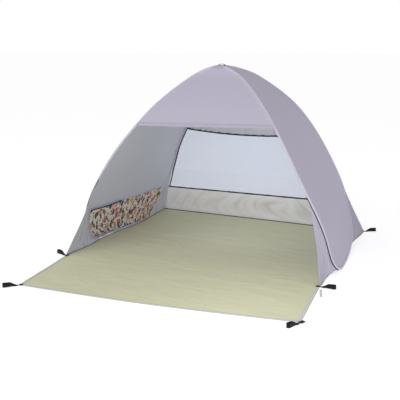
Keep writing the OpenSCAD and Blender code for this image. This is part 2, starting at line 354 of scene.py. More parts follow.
def stitch_group():
    """Dashed lines of thread that run beside a seam, at a set distance from it, and painted shade
    that darkens the cloth beside the seam.
    """
    tree, gi, go = open_group(
        "seam_stitches",
        [("From Seam", "NodeSocketFloat", 0.006), ("Pitch", "NodeSocketFloat", 0.004)],
        ["Thread", "Seam_Shade"])
    if gi is None:
        return tree
    hem = vertex_value(tree, "hem")
    sep = new_node(tree, "SeparateXYZ", {0: cloth_layout(tree)})
    run = math_node(tree, "ADD", sep.outputs[0], sep.outputs[1])
    phase = math_node(tree, "FRACT", math_node(tree, "DIVIDE", run, gi.outputs["Pitch"]))
    dash = math_node(tree, "GREATER_THAN", phase, 0.25)
    off = math_node(tree, "ABSOLUTE", math_node(tree, "SUBTRACT", hem, gi.outputs["From Seam"]))
    line = math_node(tree, "LESS_THAN", off, 0.0006)
    # painted shade: this output is 1 at the seam and falls to 0 at 12 mm from it
    fold = new_node(tree, "MapRange", {"From Min": 0, "From Max": 0.012, "To Min": 1,
                                       "To Max": 0, "Value": hem})
    feed(tree, go, {"Thread": math_node(tree, "MULTIPLY", dash, line), "Seam_Shade": fold.outputs[0]})
    return tree


def crumple_group():
    """Faint creases and uneven tone of cloth that has been packed away folded."""
    tree, gi, go = open_group(
        "packed_creases",
        [("Scale", "NodeSocketFloat", 5.0), ("Stretch", "NodeSocketVector", (1, 1, 1))],
        ["Height", "Tone"])
    if gi is None:
        return tree
    place = new_node(tree, "TexCoord").outputs["Object"]
    pull = new_node(tree, "VectorMath", {0: place, 1: gi.outputs["Stretch"]},
                    operation="MULTIPLY").outputs[0]
    warp = new_node(tree, "TexNoise", {"Detail": 4, "Roughness": 0.55, "Distortion": 0.6,
                                       "Vector": pull, "Scale": gi.outputs["Scale"]})
    ridge = math_node(tree, "ABSOLUTE", math_node(tree, "SUBTRACT", warp.outputs[0], 0.5))
    sharp = math_node(tree, "POWER", math_node(tree, "SUBTRACT", 1, ridge), 6)
    patch = new_node(tree, "TexNoise", {"Scale": 1.7, "Detail": 2, "Vector": pull})
    feed(tree, go, {"Height": sharp, "Tone": patch.outputs[0]})
    return tree


def add_group(tree, group, **values):
    return new_node(tree, "Group", values, node_tree=group).outputs


def colour_mix(tree, factor, a, b):
    a, b = (v if isinstance(v, bpy.types.NodeSocket) else (*v[:3], 1) for v in (a, b))
    return new_node(tree, "Mix", {0: factor, 6: a, 7: b}, data_type="RGBA").outputs[2]


def shade(colour, k):
    return tuple(min(1, c * k) for c in colour[:3])


def new_material(name):
    """A material and its shader; the shader is None if the material was made before."""
    mat = bpy.data.materials.get(name)
    if mat:
        return mat, None
    mat = bpy.data.materials.new(name)
    mat.use_nodes = True
    return mat, mat.node_tree.nodes["Principled BSDF"]


def cloth_material(name, colour, pitch=0.0012, rough=0.85, sheen=0.03, crease=0.25,
                   creases=5.0, weave=0.12, thread=None, metallic=0.0, tone=0.10, alpha=None,
                   stitched=True, glow=0.0, depth=0.004, stretch=(1, 1, 1)):
    """Woven cloth with threads, packed creases, stitch lines, uneven tone, and painted shade in
    folds and beside seams.
    """
    mat, bsdf = new_material(name)
    if bsdf is None:
        return mat
    t = mat.node_tree
    woven = add_group(t, weave_group(), Pitch=pitch)
    worn = add_group(t, crumple_group(), Scale=creases, Stretch=stretch)
    base = colour_mix(t, woven["Tone"], shade(colour, 1 - tone / 2), shade(colour, 1 + tone / 2))
    base = colour_mix(t, math_node(t, "MULTIPLY", worn["Tone"], tone), base, shade(colour, 0.8))
    if stitched:
        sewn = add_group(t, stitch_group())
        # painted shade: the colour darkens beside the seams
        base = colour_mix(t, math_node(t, "MULTIPLY", sewn["Seam_Shade"], 0.22), base,
                          shade(colour, 0.72))
        base = colour_mix(t, math_node(t, "MULTIPLY", sewn["Thread"], 0.8), base,
                          thread or shade(colour, 1.3))
    # painted shade: where the grid's fold value is below 1 the colour darkens towards half of it,
    # in the valleys of creases and gathers
    base = colour_mix(t, vertex_value(t, "fold"), shade(colour, 0.5), base)
    dull = new_node(t, "MapRange", {"To Min": max(0, rough - 0.08), "To Max": min(1, rough + 0.08),
                                    "Value": worn["Tone"]})
    low = bump_node(t, worn["Height"], crease, depth)
    fine = bump_node(t, woven["Height"], weave, 0.0004, Normal=low)
    feed(t, bsdf, {"Base Color": base, "Roughness": dull.outputs[0], "Normal": fine,
                   "Metallic": metallic, "Sheen Weight": sheen, "Sheen Roughness": 0.5,
                   "Specular IOR Level": 0.18})
    if glow:  # light that comes through the thin cloth from outside
        feed(t, bsdf, {"Emission Color": base, "Emission Strength": glow})
    if alpha is not None:
        feed(t, bsdf, {"Alpha": math_node(t, "MULTIPLY_ADD", woven["Height"], 0.3, alpha)})
    return mat


# Print layers: scale, squeeze, turn, size of the spots, and inks with where each one starts.
PRINT_LAYERS = (
    (26, (1.0, 0.58, 1), 0.5, 0.37, (
        (0, (0.55, 0.03, 0.03)), (0.24, (0.86, 0.26, 0.06)), (0.42, (0.03, 0.03, 0.07)),
        (0.60, (0.58, 0.52, 0.08)), (0.72, (0.80, 0.28, 0.34)), (0.84, (0.10, 0.03, 0.03)))),
    (38, (0.5, 1.1, 1), -0.6, 0.22, (
        (0, (0.03, 0.02, 0.05)), (0.50, (0.45, 0.05, 0.05)), (0.7, (0.45, 0.42, 0.16)),
        (0.85, (0.12, 0.05, 0.06)))),
)


def print_material(name, ground):
    """Printed pocket cloth: small leaves and dots in warm and dark colours on a pale ground."""
    mat, bsdf = new_material(name)
    if bsdf is None:
        return mat
    t = mat.node_tree
    uv = cloth_layout(t)
    base = shade(ground, 1)
    for scale, squeeze, turn, reach, inks in PRINT_LAYERS:
        lay = new_node(t, "Mapping", {"Scale": squeeze, "Rotation": (0, 0, turn), 0: uv})
        cells = new_node(t, "TexVoronoi", {"Scale": scale, "Randomness": 0.85,
                                           "Vector": lay.outputs[0]}, voronoi_dimensions="2D")
        pick = new_node(t, "SeparateColor", {0: cells.outputs["Color"]})
        ramp = new_node(t, "ValToRGB", {0: pick.outputs[0]})
        ramp.color_ramp.interpolation = "CONSTANT"
        while len(ramp.color_ramp.elements) < len(inks):
            ramp.color_ramp.elements.new(0.5)
        for e, (at, ink) in zip(ramp.color_ramp.elements, inks):
            e.position = at
            e.color = (*ink, 1)
        edge = math_node(t, "MULTIPLY_ADD", pick.outputs[1], 0.2, reach - 0.1)
        spot = math_node(t, "LESS_THAN", cells.outputs["Distance"], edge)
        base = colour_mix(t, spot, base, ramp.outputs[0])
    woven = add_group(t, weave_group(), Pitch=0.0012)
    base = colour_mix(t, math_node(t, "MULTIPLY", woven["Tone"], 0.25), base, (0.35, 0.33, 0.33))
    feed(t, bsdf, {"Base Color": base, "Normal": bump_node(t, woven["Height"], 0.15, 0.0005),
                   "Roughness": 0.85, "Sheen Weight": 0.1})
    return mat


def rod_material(name, colour, metallic, rough):
    """Drawn rod or tube: fine lines along it and slight wear."""
    mat, bsdf = new_material(name)
    if bsdf is None:
        return mat
    t = mat.node_tree
    worn = add_group(t, crumple_group(), Scale=90.0)
    base = colour_mix(t, worn["Tone"], shade(colour, 0.85), shade(colour, 1.1))
    feed(t, bsdf, {"Base Color": base, "Normal": bump_node(t, worn["Height"], 0.15, 0.0003),
                   "Metallic": metallic, "Roughness": rough})
    return mat


def finishes():
    """Every material of the tent, from the colours in the settings."""
    s = bpy.context.scene.beach_shade
    return {
        "wall": cloth_material("lavender_cloth", s.wall_colour, thread=(0.74, 0.72, 0.82)),
        "sleeve": cloth_material("sleeve_cloth", shade(s.wall_colour, 1.25), crease=0.1,
                                 stitched=False),
        "piping": cloth_material("pale_piping", (0.70, 0.68, 0.75), pitch=0.001, crease=0.1,
                                 stitched=False),
        "lining": cloth_material("silver_lining", s.lining_colour, rough=0.55, sheen=0.05,
                                 metallic=0.15, crease=0.6, glow=0.13, depth=0.006),
        "mesh": cloth_material("window_mesh", s.mesh_colour, pitch=0.0022, rough=0.7, crease=0.08,
                               weave=0.25, tone=0.04, alpha=0.30, stitched=False, glow=0.10),
        "skirt": cloth_material("skirt_lining", s.skirt_colour, rough=0.6, sheen=0.05, crease=0.7,
                                creases=4.0, glow=0.22, depth=0.008),
        # painted shade: the gusset cloth is the wall colour darkened, for the rear gussets that sit
        # in shade behind the hoops
        "gusset": cloth_material("gusset_cloth", shade(s.wall_colour, 0.78), crease=0.4,
                                 thread=(0.74, 0.72, 0.82), depth=0.006),
        "floor": cloth_material("floor_cloth", s.floor_colour, pitch=0.0018, rough=0.6, sheen=0.05,
                                crease=0.45, creases=3.2, tone=0.34, stitched=False, depth=0.010,
                                stretch=(0.55, 1.7, 1)),
        "floor_under": cloth_material("floor_underside", shade(s.floor_colour, 0.7), rough=0.5,
                                      sheen=0, crease=0.3, stitched=False),
        "edging": cloth_material("mat_edging", s.edging_colour, pitch=0.0016, crease=0.15),
        "seam": cloth_material("grey_seam", shade(s.edging_colour, 0.4), pitch=0.0016, crease=0.15),
        "tape": cloth_material("dark_binding", s.tape_colour, pitch=0.0016, weave=0.3, crease=0.05,
                               sheen=0.05, stitched=False),
        "webbing": cloth_material("black_webbing", s.webbing_colour, pitch=0.0024, weave=0.6,
                                  crease=0.05, rough=0.75, sheen=0.1, thread=(0.05, 0.05, 0.05)),
        "ribbon": cloth_material("pale_ribbon", (0.72, 0.72, 0.74), pitch=0.001, crease=0.1),
        "print": print_material("printed_cloth", s.print_ground),
        "rod": rod_material("rod_fibre", (0.62, 0.60, 0.52), 0.0, 0.35),
        "ferrule": rod_material("ferrule_metal", (0.72, 0.72, 0.74), 1.0, 0.3),
    }


# ---------------------------------------------------------------- settings

def colour_setting(name, description, default):
    return bpy.props.FloatVectorProperty(
        name=name, description=description, subtype="COLOR", default=default, min=0, max=1)


def length_setting(name, description, default, low, high):
    return bpy.props.FloatProperty(
        name=name, description=description, default=default, min=low, max=high, unit="LENGTH")


class ShadeSettings(bpy.types.PropertyGroup):
    wall_colour: colour_setting(
        "Wall cloth", "Outer colour of the walls", (0.53, 0.495, 0.61))
    lining_colour: colour_setting(
        "Lining", "Coated inner side of the walls", (0.525, 0.535, 0.62))
    skirt_colour: colour_setting(
        "Skirt lining", "Inner side of the skirt under the window", (0.685, 0.68, 0.715))
    mesh_colour: colour_setting(
        "Window mesh", "Colour of the window mesh", (0.58, 0.64, 0.84))
    floor_colour: colour_setting(
        "Floor sheet", "Colour of the floor and the mat", (0.73, 0.725, 0.50))
    edging_colour: colour_setting(
        "Mat edging", "Colour of the edging round the mat", (0.66, 0.65, 0.67))
    tape_colour: colour_setting(
        "Tape", "Colour of the bindings and seam tapes", (0.03, 0.03, 0.045))
    webbing_colour: colour_setting(
        "Webbing", "Colour of the peg loops", (0.012, 0.012, 0.014))
    print_ground: colour_setting(
        "Print ground", "Ground colour of the printed pocket", (0.86, 0.82, 0.79))
    hem_depth: length_setting(
        "Doorway hem", "Depth of the doorway's hem", 0.024, 0.01, 0.05)
    mat_edge: length_setting(
        "Edging width", "Width of the mat's edging", 0.018, 0.01, 0.06)
    binding: length_setting(
        "Window binding", "Width of the window's binding", 0.014, 0.006, 0.03)
    web_width: length_setting(
        "Webbing width", "Width of the peg loops' webbing", 0.025, 0.01, 0.05)


# ---------------------------------------------------------------- pieces

class SHADE_OT_rod_sleeves(bpy.types.Operator):
    """Cloth sleeves round both hoops, with slight gathers and a piping on the front edge"""
    bl_idname = "beach_shade.rod_sleeves"
    bl_label = "Rod sleeves"

    def execute(self, context):
        look = finishes()
        for side, name in HALVES:
            hub = Vector((side * 0.56, 0.74, 0.6))

            def ring(a, b):
                t = -180 + 360 * (a % 1.0)
                p = hoop(t, side)
                n1 = across(hub - p, t, side)
                n2 = along(t, side).cross(n1)
                r = 0.0074 + 0.0005 * wave(a * 240, b * 6, side)
                w = lap(b)
                return p + n1 * r * math.cos(w) + n2 * r * math.sin(w)

            def piping(a, b):
                t = -mix(2, 176, a)
                p = hoop(t, side)
                out = across(p - hub, t, side)
                n2 = along(t, side).cross(out)
                w = lap(b)
                return p + out * (0.0080 + 0.0014 * math.cos(w)) + n2 * 0.0014 * math.sin(w)

            edge = tube(f"{name}_hoop_piping", (180, 8), piping, (2.0, 0.012), [look["piping"]])
            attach(edge, f"{name}_half")
            obj = tube(f"{name}_rod_sleeve", (260, 14), ring, (4.1, 0.05), [look["sleeve"]])
            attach(obj, f"{name}_half")
            stand_for(obj, "wall_cloth", f"{name}_sleeve")
        return {"FINISHED"}


class SHADE_OT_side_panels(bpy.types.Operator):
    """Cloth inside each hoop, pulled taut with small folds near its edge"""
    bl_idname = "beach_shade.side_panels"
    bl_label = "Side panels"

    def execute(self, context):
        look = finishes()
        for side, name in HALVES:

            def place(a, b):
                t = mix(2.5, 177.5, b)
                front, rear = hoop(-t, side), hoop(t, side)
                length = (rear - front).length
                k = closer(a)
                p = mix(front, rear, k)
                rise = (hoop(-t + 1, side) + hoop(t - 1, side)
                        - hoop(-t - 1, side) - hoop(t + 1, side))
                out = facing(rear - front, rise, Vector((side, 0, 0.3)))
                belly = bump(k) * bump(b)
                edge = min(k, 1 - k) * length
                folds = (0.003 * math.exp(-edge / 0.09) * wave(p.z * 16, p.y * 16, side * 3)
                         * min(1, edge / 0.02))
                soft = 0.004 * belly * drift(p, 2.3, 4.0 * side)
                return p + out * (lift(edge) - 0.008 * belly - folds - soft)

            obj = cloth(f"{name}_side_cloth", (64, 90), place, (0.95, 1.5),
                        [look["wall"], look["lining"]])
            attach(obj, f"{name}_half")
            stand_for(obj, "wall_cloth", f"{name}_side_panel")
        return {"FINISHED"}


def door_point(t_left, t_right, a):
    """Point across the front opening between the two hoops, and its height over the sleeves."""
    left, right = hoop(-t_left, -1), hoop(-t_right, 1)
    rise = hoop(1 - t_left, -1) - hoop(-1 - t_left, -1)
    out = facing(right - left, rise, Vector((0, -1, 1)))
    edge = min(a, 1 - a) * (right - left).length
    return mix(left, right, a) + out * lift(edge), out


def door_turn(side):
    """Angle where the doorway's lower edge meets a hoop; the left end hangs a little lower."""
    return turn_at(0.896 if side < 0 else 0.916)


class SHADE_OT_front_panel(bpy.types.Operator):
    """Cloth over the doorway and its hem"""
    bl_idname = "beach_shade.front_panel"
    bl_label = "Front panel and hem"

    def execute(self, context):
        s = context.scene.beach_shade
        look = finishes()
        ends = {side: door_turn(side) for side in (-1, 1)}
        step = {side: ends[side] - turn_at(hoop(ends[side]).z + s.hem_depth) for side in (-1, 1)}

        def place(a, b):
            k = closer(a)
            left, right = (mix(-1, ends[side] - step[side] * 0.6, b) for side in (-1, 1))
            p, out = door_point(left, right, k)
            return p + out * (0.004 * bump(k) * bump(b) * (1 + drift(p, 3.1, 2.0)))

        obj = cloth("front_upper_cloth", (64, 40), place, (0.95, 0.6),
                    [look["wall"], look["lining"]])
        spans(obj, closer)
        stand_for(obj, "wall_cloth", "front_upper_panel")

        def hem(a, b):
            w = lap(b)
            down = 0.5 + 0.5 * math.cos(w)
            p, out = door_point(ends[-1] - step[-1] * down, ends[1] - step[1] * down, closer(a))
            fat = 0.0018 * math.sin(w) * (1 + 0.5 * wave(a * 30, 0, 1))
            return p + out * fat

        fold = tube("doorway_hem", (64, 12), hem, (1.0, 0.06), [look["wall"]])
        spans(fold, closer)
        stand_for(fold, "wall_cloth", "door_hem")
        return {"FINISHED"}


def wall_point(z, a):
    """Point of the back wall at height z, a runs from the left edge to the right."""
    left, right = rear_edge(z, -1), rear_edge(z, 1)
    edge = min(a, 1 - a) * (right - left).length
    over = lift(edge) * max(0, min(1, (z - REAR_SPLIT) / 0.06 + 1))
    return mix(left, right, a) + Vector((0, 0.9, 0.44)) * over


def window_line(a):
    return WIN_TOP - WIN_SAG * (1 - (2 * a - 1) ** 2)


class SHADE_OT_rear_wall(bpy.types.Operator):
    """Upper back panel, mesh window, its bindings, skirt and the seam at the floor"""
    bl_idname = "beach_shade.rear_wall"
    bl_label = "Back wall and window"

    def execute(self, context):
        s = context.scene.beach_shade
        look = finishes()
        w = s.binding
        out = Vector((0, 0.9, 0.35)).normalized()
        crown = hoop(0.4).z

        def upper(a, b):
            a = closer(a)
            z = mix(crown, window_line(a) + w * 0.3, b)
            p = wall_point(z, a)
            gather = 0.007 * b ** 3 * wave(a * 46, b * 2, 7) * calm(a)
            return p + out * (gather + 0.004 * bump(b) * drift(p, 2.5, 9))

        def window(a, b):
            a = closer(a)
            z = mix(window_line(a) - w * 0.3, WIN_BOT + w * 0.3, b)
            p = wall_point(z, a)
            tension = 0.0035 * (1 - bump(b)) * wave(a * 20, b * 3, 3) * calm(a)
            return p + out * (tension - 0.008 * bump(a) * bump(b))

        def creases(a, b):
            """Broad and narrow slanting folds of the skirt, each 0 to 1 at its crest."""
            slant = a - 0.14 * (a - 0.3) * 2.4 * b
            wander = wave(slant * 4, b * 0.8, 2)
            broad = 0.5 + 0.5 * math.sin(2 * math.pi * (slant * 9 + wander * 1.6))
            narrow = 0.5 + 0.5 * math.sin(2 * math.pi * (slant * 23 + wander * 3.1))
            share = 0.5 + 0.9 * wave(a * 6, b * 1.5, 5)
            return broad ** 3, narrow ** 3 * max(0, min(1, share))

        def skirt(a, b):
            z = mix(WIN_BOT - w * 0.3, 0.0035, b)
            broad, narrow = creases(a, b)
            loose = wave(a * 5, b * 2, 8)
            depth = 0.011 * (broad - 0.3) + 0.006 * narrow + 0.006 * loose
            return wall_point(z, a) + out * bump(0.12 + 0.76 * b) * depth * calm(a)

        # painted shade in the valleys of the skirt's folds, deeper towards the right
        def skirt_crease_shade(a, b):
            broad, narrow = creases(a + 0.004, b)
            deep = 0.17 + 0.20 * smooth(a, 0.25, 0.85)
            return 1 - (deep * broad + 1.5 * deep * narrow) * bump(0.1 + 0.8 * b)

        # painted shade in the valleys of the gathers, stronger towards the window
        def gather_shade(a, b):
            return 1 - 0.28 * b ** 2 * smooth(wave(closer(a) * 46, b * 2, 7), 0, 0.5)

        jobs = (
            ("rear_upper_cloth", (120, 44), upper, (1.1, 0.6), ["wall", "lining"], "lining",
             "rear_upper_panel", (1.12, 0.58), 0.38, closer, gather_shade),
            ("window_mesh_sheet", (64, 40), window, (1.5, 0.54), ["mesh"], "mesh", "rear_window",
             (1.6, 0.56), 0.73, closer, None),
            ("rear_skirt_cloth", (190, 30), skirt, (1.7, 0.28), ["wall", "skirt"], "lining",
             "rear_skirt", (1.82, 0.26), 0.45, None, skirt_crease_shade),
        )
        for name, count, place, size, skins, slot, node, flat, area, spacing, tone in jobs:
            obj = cloth(name, count, place, size, [look[k] for k in skins], tone=tone)
            spans(obj, spacing)
            stand_for(obj, slot, node)

        def strip(level, depth):
            def place(a, b):
                w2 = lap(b)
                p = wall_point(level(a) + depth / 2 * math.cos(w2), a)
                return p + out * 0.0018 * math.sin(w2)
            return place

        for name, level, node in (("window_top_tape", window_line, "window_top_binding"),
                                  ("window_bottom_tape", lambda a: WIN_BOT,
                                   "window_bottom_binding")):
            obj = tube(name, (60, 8), strip(level, w), (1.3, 0.03), [look["tape"]])
            spans(obj)
            stand_for(obj, "dark_tape", node)
        for side, name in HALVES:
            def edge(a, b):
                z = mix(WIN_TOP - 0.004, WIN_BOT + 0.002, a)
                w2 = lap(b)
                p = rear_edge(z, side)
                run = Vector((-side, 0, 0))
                return p + run * (0.013 + w * 0.4 * math.cos(w2)) + out * 0.0018 * math.sin(w2)

            obj = tube(f"{name}_window_tape", (40, 8), edge, (0.6, 0.03), [look["tape"]])
            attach(obj, f"{name}_half")
            stand_for(obj, "dark_tape", f"{name}_window_binding")

        def floor_seam(a, b):
            w2 = lap(b)
            p = mix(REAR[-1], REAR[1], mix(0.012, 0.988, a))
            return p + Vector((0, -0.010 + 0.006 * math.cos(w2), 0.0042 + 0.0014 * math.sin(w2)))

        obj = tube("rear_floor_seam", (60, 8), floor_seam, (1.8, 0.03), [look["tape"]])
        spans(obj)
        stand_for(obj, "dark_tape", "rear_floor_tape")
        return {"FINISHED"}


class SHADE_OT_gussets(bpy.types.Operator):
    """Corner gussets, front and rear, and the tape between hoop and front gusset"""
    bl_idname = "beach_shade.gussets"
    bl_label = "Gussets and seam tapes"

    def execute(self, context):
        look = finishes()
        for side, half in HALVES:
            for s, split, corners, part in ((-1, FRONT_SPLIT, DOOR, "front"),
                                            (1, REAR_SPLIT, REAR, "rear")):
                corner = corners[side]
                t0 = turn_at(split)
                top = hoop(s * t0, side)

                def place(a, b):
                    t = s * mix(t0, 177, b ** 0.92)
                    p = hoop(t, side)
                    p = p + across(corner - p, t, side) * 0.0052
                    if s > 0:
                        edge = rear_edge(mix(split, 0.003, b), side)
                    else:
                        edge = mix(top, corner + Vector((0, 0, 0.003)), b)
                        edge = edge + (hoop(-150, side) - edge).normalized() * 0.020 * bump(b)
                    q = mix(p, edge, a)
                    foot = hoop(s * 177, side)
                    hem = floor_edge(side, mix(foot.y, corner.y, a))
                    hem = hem + Vector((side * mix(0.002, -0.001, a), 0, 0.003))
                    line = mix(foot, Vector((corner.x, corner.y, 0.003)), a)
                    q = q + (hem - line) * b ** 4 * min(1, a * 6)
                    fold = math.sin(a * 15 + b * 3 * s + side) * (1 - b) ** 0.5 * b
                    pull = 0.004 * wave(a * 7 + b * 2, b * 5, side * 5 + s)
                    return q + Vector((side * (pull + 0.003 * fold) * bump(a), 0, 0))

                # painted shade along wavy creases of the gusset, deeper on the left side
                def tone(a, b):
                    line = wave(a * 9 - b * 2, b * 1.5, side * 5 + s)
                    deep = 0.5 if side < 0 else 0.3
                    return 1 - deep * smooth(line, 0.1, 0.55) * bump(0.1 + 0.8 * a)

                # the rear gussets take the darkened gusset cloth: painted shade
                obj = cloth(f"{half}_{part}_gusset_cloth", (36, 44), place, (0.35, 0.6),
                            [look["wall" if s < 0 else "gusset"], look["lining"]], tone=tone)
                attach(obj, f"{half}_half")
                stand_for(obj, "wall_cloth", f"{half}_{part}_gusset")

            corner = DOOR[side]
            t0 = turn_at(FRONT_SPLIT)

            def tape(a, b):
                t = -mix(t0 - 1.5, 166, a)
                p = hoop(t, side)
                g = across(corner - p, t, side)
                n = along(t, side).cross(g)
                w = lap(b)
                wide = mix(0.0025, 0.0055, a)
                return p + g * (0.0095 + wide * math.cos(w)) + n * 0.002 * math.sin(w)

            obj = tube(f"{half}_hoop_tape", (40, 8), tape, (0.6, 0.03), [look["tape"]])
            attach(obj, f"{half}_half")
            stand_for(obj, "dark_tape", f"{half}_seam_tape")
        return {"FINISHED"}


def floor_point(a, b):
    """Point of the floor sheet; b runs from the mat's front edge to the back wall."""
    cut = 0.27
    if b < cut:
        k = b / cut
        left, right = mix(MAT[-1], DOOR[-1], k), mix(MAT[1], DOOR[1], k)
        return mix(left, right, a) - Vector((0, MAT_BOW * math.sin(math.pi * a) * (1 - k), 0))
    else:
        k = (b - cut) / (1 - cut)
        left, right = (floor_edge(side, mix(DOOR[side].y, REAR[side].y, k)) for side in (-1, 1))
    return mix(left, right, a)


def mat_share(p):
    """How far across the mat a point lies, from 0 at the left edge to 1 at the right."""
    left, right = (mix(DOOR[side].x, MAT[side].x, max(0, DOOR[side].y - p.y)
                       / (DOOR[side].y - MAT[side].y)) for side in (-1, 1))
    return max(0, min(1, (p.x - left) / (right - left)))


def floor_height(p):
    """Height of the floor cloth over the ground: soft waves that die out towards the edges."""
    x, y = p.x, p.y
    long_wave = wave(x * 1.4 + 3, y * 6.5, 0.3)
    short = wave(x * 3.2, y * 15 + x * 3, 1.7)
    tug = wave((x + y) * 9, (x - y) * 1.6, 4.1)
    rise = max(0.0, 0.0035 + 0.0040 * long_wave + 0.0020 * short + 0.0018 * tug)
    share = (x + MAT_LEFT) / MAT_WIDE
    front = y - mix(MAT[-1].y, MAT[1].y, share) + MAT_BOW * bump(share)
    rear = mix(REAR[-1].y, REAR[1].y, (x + REAR_LEFT) / REAR_WIDE) - y
    gap = max(0, min(front, rear, 0.9 - abs(x)))
    return 0.0011 + rise * min(1, 0.2 + gap / 0.15)


class SHADE_OT_floor(bpy.types.Operator):
    """Floor sheet with its front mat, and the edging round the mat"""
    bl_idname = "beach_shade.floor"
    bl_label = "Floor sheet and edging"

    def execute(self, context):
        s = context.scene.beach_shade
        look = finishes()

        def place(a, b):
            p = floor_point(a, b)
            return p + Vector((0, 0, floor_height(p)))

        obj = cloth("floor_cloth_sheet", (120, 140), place, (1.8, 2.15),
                    [look["floor"], look["floor_under"]], away=BELOW, thickness=0.0008)
        spans(obj)
        stand_for(obj, "floor", "floor_sheet")

        for side, half in HALVES:
            def side_seam(a, b):
                w = lap(b)
                p = floor_edge(side, mix(DOOR[side].y + 0.012, REAR[side].y - 0.012, a))
                return p + Vector((side * (0.005 * math.cos(w) - 0.004), 0,
                                   0.0042 + 0.0016 * math.sin(w)))

            seam = tube(f"{half}_floor_seam", (80, 8), side_seam, (1.5, 0.03), [look["seam"]])
            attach(seam, f"{half}_half")

        corners = [DOOR[-1], MAT[-1], MAT[1], DOOR[1]]
        lengths = [(corners[i + 1] - corners[i]).length for i in range(3)]
        total = sum(lengths)

        def edging(a, b):
            run = a * total
            i = 0
            while i < 2 and run > lengths[i]:
                run -= lengths[i]
                i += 1
            p = mix(corners[i], corners[i + 1], run / lengths[i])
            ways = [(corners[j + 1] - corners[j]).normalized() for j in range(3)]
            normals = [Vector((-w.y, w.x, 0)) for w in ways]
            n = normals[i]
            if run < 1e-4 and i > 0:
                m = (normals[i - 1] + normals[i]).normalized()
                n = m / m.dot(normals[i])
            elif lengths[i] - run < 1e-4 and i < 2:
                m = (normals[i + 1] + normals[i]).normalized()
                n = m / m.dot(normals[i])
            q = p + n * s.mat_edge * b
            if i == 1:
                q.y -= MAT_BOW * math.sin(math.pi * run / lengths[1])
            return q + Vector((0, 0, floor_height(q) + 0.0014))

        cuts = [0, lengths[0] / total, (lengths[0] + lengths[1]) / total, 1]

        def even(a, b):
            k = min(2, int(a * 3 + 1e-6))
            return edging(mix(cuts[k], cuts[k + 1], a * 3 - k), b)

        band = cloth("mat_edging_band", (120, 4), even, (2.9, 0.028), [look["edging"]], away=BELOW,
                     thickness=0.0012)
        spans(band, share=[mat_share(v.co) for v in band.data.vertices])
        stand_for(band, "grey_tape", "mat_binding")
        return {"FINISHED"}


class SHADE_OT_side_pocket(bpy.types.Operator):
    """Printed pocket low on the left wall, with a dark binding along part of its top"""
    bl_idname = "beach_shade.side_pocket"
    bl_label = "Side pocket"

    def execute(self, context):
        look = finishes()
        low, tall = 0.018, 0.272

        def point(a, z):
            """Point beside the left wall and gusset; the pocket's front end follows the hoop."""
            t = turn_at(z)
            front, rear, edge = hoop(-t), hoop(t), rear_edge(z, -1)
            y = mix(front.y + 0.022, mix(1.19, 1.285, z / tall), a)
            if y < rear.y:
                x = mix(front.x, rear.x, (y - front.y) / (rear.y - front.y))
            else:
                x = mix(rear.x, abs(edge.x), (y - rear.y) / (edge.y - rear.y))
            foot = hoop(180).y
            hollow = 0.036 * bump((REAR[-1].y - y) / (REAR[-1].y - foot)) if y > foot else 0
            return Vector((0.013 + hollow * (1 - z / tall) - x, y, z))

        def slack(a, b):
            return 0.003 * b + 0.004 * b * b * (1 + wave(a * 11, 2, 2))

        def place(a, b):
            drop = 0.005 * b * bump(a * 2.5 % 1)
            return point(a, mix(mix(0.03, low, a), tall, b)) + Vector((slack(a, b), 0, -drop))

        obj = cloth("printed_pocket", (80, 24), place, (1.1, 0.26), [look["print"], look["lining"]],
                    away=Vector((-3, 0.8, 0.1)))
        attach(obj, "left_half")
        stand_for(obj, "print", "side_pocket")

        def binding(a, b):
            w = lap(b)
            k = a * 0.38
            p = point(k, tall + 0.0035 + 0.005 * math.cos(w))
            return p + Vector((slack(k, 1) + 0.0018 * math.sin(w), 0, -0.005 * bump(k * 2.5 % 1)))

        edge = tube("pocket_edge_tape", (50, 8), binding, (0.42, 0.03), [look["tape"]])
        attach(edge, "left_half")
        stand_for(edge, "dark_tape", "pocket_binding")
        return {"FINISHED"}


